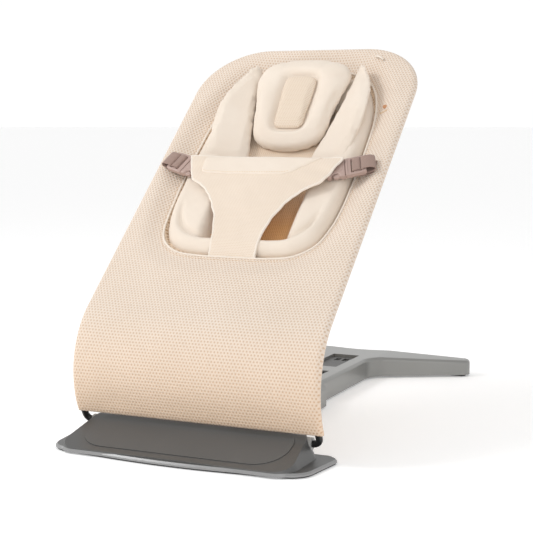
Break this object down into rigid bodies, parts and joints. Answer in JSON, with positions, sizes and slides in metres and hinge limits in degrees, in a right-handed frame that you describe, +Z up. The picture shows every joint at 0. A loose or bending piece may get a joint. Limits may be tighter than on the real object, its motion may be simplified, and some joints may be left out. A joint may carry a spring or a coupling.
{
  "type": "baby bouncer seat",
  "caption": "Folding baby bouncer: mesh cover on a bent tube frame with cushioned insert, buckled bib, wedge front foot and V-shaped rear foot.",
  "frame": {"origin": "middle of the footprint, at the floor", "axes": "+Z up, -Y towards the front foot where the sitter's feet point, +X to the right seen from the front"},
  "size_m": [0.4206, 0.7997, 0.5919],
  "materials": {
    "foot_grey": "satin",
    "inlay_grey": "satin",
    "sole_rubber": "matte",
    "inner_plastic": "satin",
    "socket_plastic": "satin",
    "base_grey": "satin",
    "inner_metal": "matte",
    "steel": "satin",
    "black_tube": "satin",
    "button_plastic": "satin",
    "mesh_beige": "honeycomb mesh",
    "mesh_pale": "honeycomb mesh",
    "cream_fabric": "fine knit",
    "cream_mesh": "fine mesh",
    "copper_button": "gloss",
    "taupe_plastic": "satin",
    "taupe_webbing": "woven"
  },
  "bodies": {
    "base": {"front_foot_shell": "foot_grey", "front_foot_inlay": "inlay_grey", "front_foot_sole": "sole_rubber", "front_foot_underplate": "inner_plastic", "pivot_bush_left": "socket_plastic", "pivot_bush_right": "socket_plastic", "spine_front_shell": "base_grey", "rear_base_shell": "base_grey", "slot_plate": "inlay_grey", "rear_pad_left": "sole_rubber", "rear_pad_right": "sole_rubber", "recline_track": "inner_metal", "base_screws": "steel"},
    "seat_lower": {"frame_tube_left": "black_tube", "frame_tube_right": "black_tube", "cross_bar": "black_tube", "bar_bracket_left": "inner_plastic", "bar_bracket_right": "inner_plastic", "bracket_rivets": "steel", "cover_lower": "mesh_beige"},
    "prop": {"prop_leg": "black_tube"},
    "carriage": {"foot_carriage": "inner_plastic", "foot_pin": "steel", "button_spring": "steel"},
    "release_button": {"release_button": "button_plastic"},
    "latch_left": {"latch_pin_left": "steel"},
    "latch_right": {"latch_pin_right": "steel"},
    "seat_upper": {"frame_hoop": "black_tube", "hoop_spigot_left": "steel", "hoop_spigot_right": "steel", "cover_upper": "mesh_beige", "seat_pouch": "mesh_pale", "insert_pad": "cream_fabric", "insert_wing_left": "cream_fabric", "insert_wing_right": "cream_fabric", "headrest_pad": "cream_fabric", "headrest_core": "cream_mesh", "harness_bib": "cream_mesh", "cover_button": "copper_button", "cover_loop": "mesh_beige", "buckle_socket_left": "taupe_plastic", "buckle_socket_right": "taupe_plastic", "strap_anchor_left": "taupe_webbing", "strap_anchor_right": "taupe_webbing"},
    "plug_left": {"buckle_plug_left": "taupe_plastic", "strap_loop_left": "taupe_webbing"},
    "plug_right": {"buckle_plug_right": "taupe_plastic", "strap_loop_right": "taupe_webbing"}
  },
  "joints": [
    {"name": "seat_recline", "type": "hinge", "parent": "base", "child": "seat_lower", "pos_m": [0, -0.2975, 0.027], "axis": [-1, 0, 0], "range_deg": [0, 40]},
    {"name": "prop_swing", "type": "hinge", "parent": "seat_lower", "child": "prop", "pos_m": [0, -0.2058, 0.23119], "axis": [1, 0, 0], "range_deg": [0, 80]},
    {"name": "carriage_level", "type": "hinge", "parent": "prop", "child": "carriage", "pos_m": [0, -0.1141, 0.027], "axis": [-1, 0, 0], "range_deg": [0, 40]},
    {"name": "seat_bounce", "type": "hinge", "parent": "seat_lower", "child": "seat_upper", "pos_m": [0, -0.21913, 0.2461], "axis": [-1, 0, 0], "range_deg": [-4, 4], "stiffness_Nm_per_rad": 140, "springref_deg": -1.26},
    {"name": "release_press", "type": "slide", "parent": "carriage", "child": "release_button", "axis": [0, 0, -1], "range_m": [0, 0.004], "stiffness_N_per_m": 800, "deforming": ["button_spring"]},
    {"name": "latch_draw_left", "type": "slide", "parent": "carriage", "child": "latch_left", "axis": [1, 0, 0], "range_m": [0, 0.003]},
    {"name": "latch_draw_right", "type": "slide", "parent": "carriage", "child": "latch_right", "axis": [-1, 0, 0], "range_m": [0, 0.003]},
    {"name": "plug_pull_left", "type": "slide", "parent": "seat_upper", "child": "plug_left", "axis": [-0.9455, 0.2427, 0.217], "range_m": [0, 0.022]},
    {"name": "plug_pull_right", "type": "slide", "parent": "seat_upper", "child": "plug_right", "axis": [0.9455, 0.2427, 0.217], "range_m": [0, 0.022]}
  ],
  "couplings": [
    {"joint": "prop_swing", "follows": "seat_recline", "ratio": 2},
    {"joint": "carriage_level", "follows": "seat_recline", "ratio": 1},
    {"joint": "latch_draw_left", "follows": "release_press", "ratio": 0.75},
    {"joint": "latch_draw_right", "follows": "release_press", "ratio": 0.75}
  ]
}
